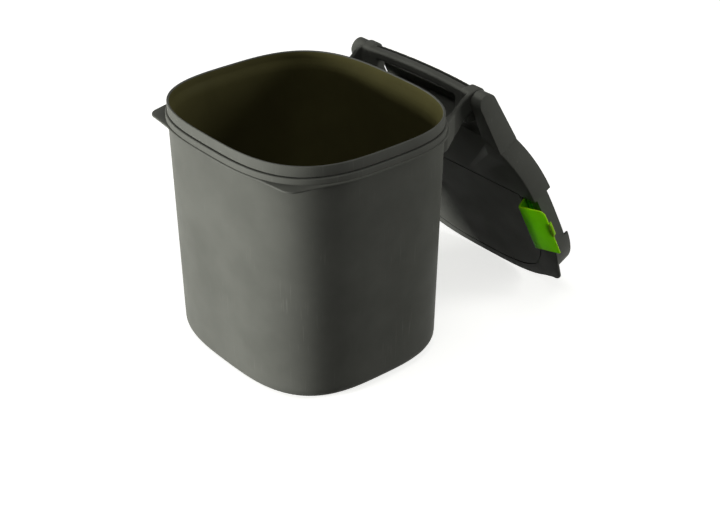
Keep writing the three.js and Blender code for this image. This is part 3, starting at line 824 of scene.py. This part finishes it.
def lid_blank():
    """The lid's outside as a solid, with its arms and the lips along its front and rear."""
    half_width = lid_half_width()
    blank = lathe([
        (0, LID_BOTTOM, 0), (half_width, LID_BOTTOM, 0.5), (half_width, LID_TOP, 1.2), (0, LID_TOP, 0),
    ])
    parts = [*(lid_arm(side) for side in SIDES), lid_lip(), rear_lip()]
    return carved(blank, [("UNION", part) for part in parts])


def lid_half_width():
    """Half the width of the lid's skirt, in millimetres."""
    return round(bpy.context.scene.bokashi_sizes.lid_half_width / MM, 4)


def lid_arm(side):
    """One arm of the lid, flat outside, from its bend at the skirt to its hinge knuckle."""
    end_radius = 11
    end = tip_arc(HINGE_Y - 1.8, LID_BOTTOM + end_radius, end_radius, -90, 90, 20)
    outline = [
        (88.5, LID_BOTTOM, 0), (104, LID_BOTTOM, 0), *[(*point, 0) for point in end],
        (104, LID_TOP, 0), (88.5, LID_TOP, 0),
    ]
    arm = plate(outline, *stretch(side, 90, 114), "X")
    trim(arm, (side * 105.5, HINGE_Y, 0), (side * 57.3, 8.5, 0))
    bmesh.ops.remove_doubles(arm, verts=arm.verts[:], dist=SAME_PLACE)
    return soften(arm, 2, segments=4)


def rear_lip():
    """The lip along the skirt's lower rear edge, between the arms."""
    half_width, root_y, tip_y, thickness = 83, 63, 137.8, 3.2
    outline = [
        (-half_width, root_y, 0), (half_width, root_y, 0),
        (half_width, tip_y, 2), (-half_width, tip_y, 2),
    ]
    return soften(plate(outline, LID_BOTTOM, LID_BOTTOM + thickness), 0.8)


def lid_lip():
    """The lip along the lid's front half, with its finger tabs."""
    thickness = 3.2
    outline = tabbed_outline(143.8, tip=(117.5, 94), radius=13, side=30.8, front=51.5)
    first = next(i for i, point in enumerate(outline) if point[1] <= 0 and outline[i - 1][1] > 0)
    outer = [point for point in outline[first:] + outline[:first] if point[1] <= 0]
    inner = inner_loop(outer, 139.9)
    points = [(*point, 0) for point in [*outer, *reversed(inner)]]
    return soften(plate(points, LID_TOP - thickness, LID_TOP), 0.8, 60)


def lid_hollow():
    """The lid's hollow underside, which leaves the ribs that hold the seal."""
    return lathe([
        (0, 253, 0), (139.4, 253, 0), (139.4, 274.2, 0.6), (136.3, 277.3, 0), (136.3, 279.1, 0),
        (131.3, 279.1, 0), (131.3, 272.5, 0), (129.1, 272.5, 0), (129.1, 282.2, 1), (0, 282.2, 0),
    ])


def panel_outline(inset):
    """The outline of the lid's panel: its front follows the lid and its rear edge is straight."""
    half_width = lid_half_width()
    half_depth = half_width * bpy.context.scene.bokashi_sizes.depth_share
    side_margin, front_margin, rear_y = 22, 9.5, 39.5
    across = 1 - (side_margin + inset) / half_width
    along = 1 - (front_margin + inset) / half_depth
    points = outline_arc(half_width, 0, 360)[1:]
    return [(x * across, min(y * along, rear_y - inset)) for x, y in points]


def latch_tools(side):
    """The housing, the pocket and the skirt notch of one latch, as join and cut tools."""
    half_length, above = 37.5, 290
    housing_0, housing_1 = stretch(side, 118.5, 129.2)
    top_0, top_1 = stretch(side, 120.3, 150)
    pocket_0, pocket_1 = stretch(side, 120.3, 129.5)
    notch_0, notch_1 = stretch(side, 137, 147)
    return [
        ("UNION", box((housing_0, -39.4, 274), (housing_1, 39.4, 282.6))),
        ("DIFFERENCE", box((top_0, -half_length, 281.2), (top_1, half_length, above))),
        ("DIFFERENCE", box((pocket_0, -31.3, 275.9), (pocket_1, 31.3, above))),
        ("DIFFERENCE", box((notch_0, -half_length, 250), (notch_1, half_length, 264.7))),
    ]


def lid_shell():
    """The whole lid, shut: skirt, arms, lips, seal channel, latch pockets and panel groove."""
    groove_width, groove_depth = 1.8, 0.9
    groove = ring_plate(
        panel_outline(0), panel_outline(groove_width), LID_TOP - groove_depth, 290, rounding=0
    )
    tools = [("DIFFERENCE", lid_hollow()), ("DIFFERENCE", groove)]
    for side in SIDES:
        tools += latch_tools(side)
    return carved(lid_blank(), tools)


class BOKASHI_OT_lid(bpy.types.Operator):
    """Builds the lid and swings it open"""

    bl_idname = "bokashi.lid"
    bl_label = "Lid"

    def execute(self, context):
        lid = lid_shell()
        lid.transform(lid_turn())
        place_piece(lid, "lid_cover", "lid_body", ["charcoal_polypropylene"], ["lid"])
        return {"FINISHED"}


class BOKASHI_OT_lid_seal(bpy.types.Operator):
    """Builds the soft seal in the lid's channel"""

    bl_idname = "bokashi.lid_seal"
    bl_label = "Lid seal"

    def execute(self, context):
        seal = lathe([
            (131.6, 278.8, 0.4), (131.6, 274.4, 1.6), (136, 274.4, 1.6), (136, 278.8, 0.4),
        ], closed=True)
        seal.transform(lid_turn())
        place_piece(seal, "seal_ring", "lid_body", ["thermoplastic_rubber"], ["lid_seal"])
        return {"FINISHED"}


# Latches and pins


def latch_shape():
    """The right latch, shut: a barrel on its pin, a top, a plate down the skirt and a hook."""
    hinge_x, inside_x, outside_x = 129.15, 142.25, 144.25
    underside, tip_z = 282.5, 251.5
    flap = plate([
        (hinge_x, underside, 0), (inside_x, underside, 0.8), (inside_x, tip_z, 0),
        (outside_x, tip_z, 0), (outside_x, LID_TOP, 2.2), (hinge_x, LID_TOP, 0),
    ], -35, 35, "Y")
    for y, reach in ((35, 6.5), (-35, 1.5)):
        corner = [
            e for e in flap.edges
            if all((v.co.yz - Vector((y, tip_z)) * MM).length < SAME_PLACE for v in e.verts)
        ]
        bmesh.ops.bevel(
            flap, geom=corner, offset=reach * MM, offset_type="OFFSET", segments=8, profile=0.5,
            affect="EDGES", material=-1,
        )
    soften(flap, 0.9, segments=4)
    neck = plate([
        (123.95, LATCH_PIN_Z, 0), (hinge_x, LATCH_PIN_Z, 0), (hinge_x, underside, 0),
        (131.2, 282.6, 0), (131.2, 284.6, 0), (126.4, 284.6, 1),
    ], -31, 31, "Y")
    barrel = soften(rod((LATCH_PIN_X, 0, LATCH_PIN_Z), 2.6, 62), 0.3)
    hook = soften(box((138.6, -6, tip_z), (143.2, 14, 253.2)), 0.4)
    return merged([flap, neck, barrel, hook])


class BOKASHI_OT_latches(bpy.types.Operator):
    """Builds both side latches and swings them open on the open lid"""

    bl_idname = "bokashi.latches"
    bl_label = "Latches"

    def execute(self, context):
        for side in SIDES:
            latch = latch_shape()
            if side < 0:
                bmesh.ops.scale(latch, vec=(-1, 1, 1), verts=latch.verts[:])
                bmesh.ops.reverse_faces(latch, faces=latch.faces[:])
            pivot = Vector((side * LATCH_PIN_X, 0, LATCH_PIN_Z)) * MM
            turn = Matrix.Rotation(math.radians(-LATCH_OPEN_DEGREES * side), 4, "Y")
            swung = Matrix.Translation(pivot) @ turn @ Matrix.Translation(-pivot)
            latch.transform(lid_turn() @ swung)
            name = SIDE_NAMES[side]
            place_piece(
                latch, f"{name}_latch_flap", f"latch_{name}_body",
                ["lime_polypropylene"], [f"latch_{name}"],
            )
        return {"FINISHED"}


class BOKASHI_OT_pins(bpy.types.Operator):
    """Finishes the hinge and latch pins"""

    bl_idname = "bokashi.pins"
    bl_label = "Pins"

    def execute(self, context):
        for name in SIDE_NAMES.values():
            dress_node(f"hinge_pin_{name}", "turned_acetal")
            dress_node(f"latch_pin_{name}", "turned_acetal")
        return {"FINISHED"}


# Stage


def soft_lamp(name, place, target, power, width, height):
    """A large area lamp at a place, facing a target."""
    data = bpy.data.lights.new(name, "AREA")
    data.shape = "RECTANGLE"
    data.size = width
    data.size_y = height
    data.energy = power
    lamp = bpy.data.objects.new(name, data)
    lamp.location = place
    lamp.rotation_euler = (Vector(target) - Vector(place)).to_track_quat("-Z", "Y").to_euler()
    bpy.context.scene.collection.objects.link(lamp)


def add_camera(stage):
    """The camera at the photograph's angle."""
    data = bpy.data.cameras.new("camera")
    data.sensor_width = 36
    data.lens = stage.lens
    camera = bpy.data.objects.new("camera", data)
    camera.location = stage.camera_place
    facing = Vector(stage.camera_target) - Vector(stage.camera_place)
    camera.rotation_euler = facing.to_track_quat("-Z", "Y").to_euler()
    bpy.context.scene.collection.objects.link(camera)
    bpy.context.scene.camera = camera


def add_world():
    """A soft grey surround that shows white to the camera and in mirrored light."""
    world = bpy.data.worlds.new("surround")
    world.use_nodes = True
    tree = world.node_tree
    tree.nodes.clear()
    dim = add_node(tree, "ShaderNodeBackground", {"Color": (1, 1, 1, 1), "Strength": 0.03})
    white = add_node(tree, "ShaderNodeBackground", {"Color": (1, 1, 1, 1), "Strength": 1.0})
    mix = add_node(tree, "ShaderNodeMixShader", {0: seen(tree), 1: dim.outputs[0], 2: white.outputs[0]})
    add_node(tree, "ShaderNodeOutputWorld", {"Surface": mix.outputs[0]})
    bpy.context.scene.world = world


class BOKASHI_OT_stage(bpy.types.Operator):
    """Sets the floor, the lamps, the surround and the camera"""

    bl_idname = "bokashi.stage"
    bl_label = "Stage"

    def execute(self, context):
        stage = context.scene.bokashi_stage
        context.scene.view_settings.view_transform = "Standard"
        bm = bmesh.new()
        bmesh.ops.create_grid(bm, x_segments=1, y_segments=1, size=6)
        floor = new_object(bm, "floor")
        floor_white = context.scene.bokashi_colours.floor
        floor.data.materials.append(matt_emulsion("matt_emulsion", floor_white, bounce=0.12))
        soft_lamp("key_lamp", (-1.05, -2.75, 0.32), (0, 0, 0.15), stage.key, width=1.2, height=0.6)
        soft_lamp("top_lamp", (0.3, -0.9, 3.3), (0, 0, 0.1), stage.top, width=2.6, height=2.6)
        soft_lamp("rear_lamp", (1.9, 2.3, 0.9), (0, 0.1, 0.15), stage.rear, width=1.2, height=1.2)
        add_world()
        add_camera(stage)
        return {"FINISHED"}


# Add-on


class BOKASHI_PT_panel(bpy.types.Panel):
    """Lists the bin's settings and its building steps"""

    bl_idname = "BOKASHI_PT_panel"
    bl_label = "Bokashi Bin"
    bl_space_type = "VIEW_3D"
    bl_region_type = "UI"
    bl_category = "Bokashi Bin"

    def draw(self, context):
        layout = self.layout
        scene = context.scene
        for group in (scene.bokashi_sizes, scene.bokashi_colours, scene.bokashi_stage):
            column = layout.column()
            for name in group.__annotations__:
                column.prop(group, name)
        for step in STEPS:
            layout.operator(step.bl_idname)


STEPS = (
    BOKASHI_OT_stage,
    BOKASHI_OT_outer_bin,
    BOKASHI_OT_inner_bucket,
    BOKASHI_OT_strainer,
    BOKASHI_OT_lid,
    BOKASHI_OT_lid_seal,
    BOKASHI_OT_latches,
    BOKASHI_OT_pins,
)
CLASSES = (BokashiSizes, BokashiColours, BokashiStage, *STEPS, BOKASHI_PT_panel)


def register():
    """Registers the classes and hangs their settings on the scene."""
    for kind in CLASSES:
        bpy.utils.register_class(kind)
    bpy.types.Scene.bokashi_sizes = PointerProperty(type=BokashiSizes)
    bpy.types.Scene.bokashi_colours = PointerProperty(type=BokashiColours)
    bpy.types.Scene.bokashi_stage = PointerProperty(type=BokashiStage)


def unregister():
    """Takes the settings off the scene and unregisters the classes."""
    del bpy.types.Scene.bokashi_stage
    del bpy.types.Scene.bokashi_colours
    del bpy.types.Scene.bokashi_sizes
    for kind in reversed(CLASSES):
        bpy.utils.unregister_class(kind)


def main():
    """Builds every piece and the stage."""
    register()
    bpy.ops.bokashi.stage()
    bpy.ops.bokashi.outer_bin()
    bpy.ops.bokashi.inner_bucket()
    bpy.ops.bokashi.strainer()
    bpy.ops.bokashi.lid()
    bpy.ops.bokashi.lid_seal()
    bpy.ops.bokashi.latches()
    bpy.ops.bokashi.pins()


if __name__ == "__main__":
    main()
